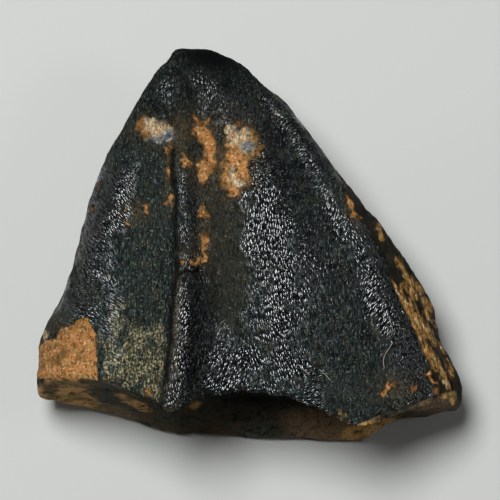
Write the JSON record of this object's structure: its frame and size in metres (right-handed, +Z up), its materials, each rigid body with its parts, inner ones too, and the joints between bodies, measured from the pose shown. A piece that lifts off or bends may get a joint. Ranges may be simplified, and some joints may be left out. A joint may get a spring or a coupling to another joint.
{
  "type": "fossil tooth crown",
  "caption": "Wedge shaped fossil tooth crown: leaf shaped enamel face with a tall off-centre ridge and low ribs, worn facet behind, hollow broken base; lies on its back.",
  "frame": {"origin": "centre of the bounding box seen from above, on the plane of the flat resting face", "axes": "+X across the crown to the right as the ribbed enamel face is seen, +Y from the broken base to the tip, +Z up out of the enamel face"},
  "size_m": [0.0242, 0.0218, 0.0103],
  "materials": {
    "fossil_enamel": "black grey fossil enamel, finely granular and glossy, with orange and tan dentine where it has flaked and brown streaks on the right flank and base"
  },
  "bodies": {
    "root": {"tooth_crown": "fossil_enamel"}
  },
  "joints": []
}
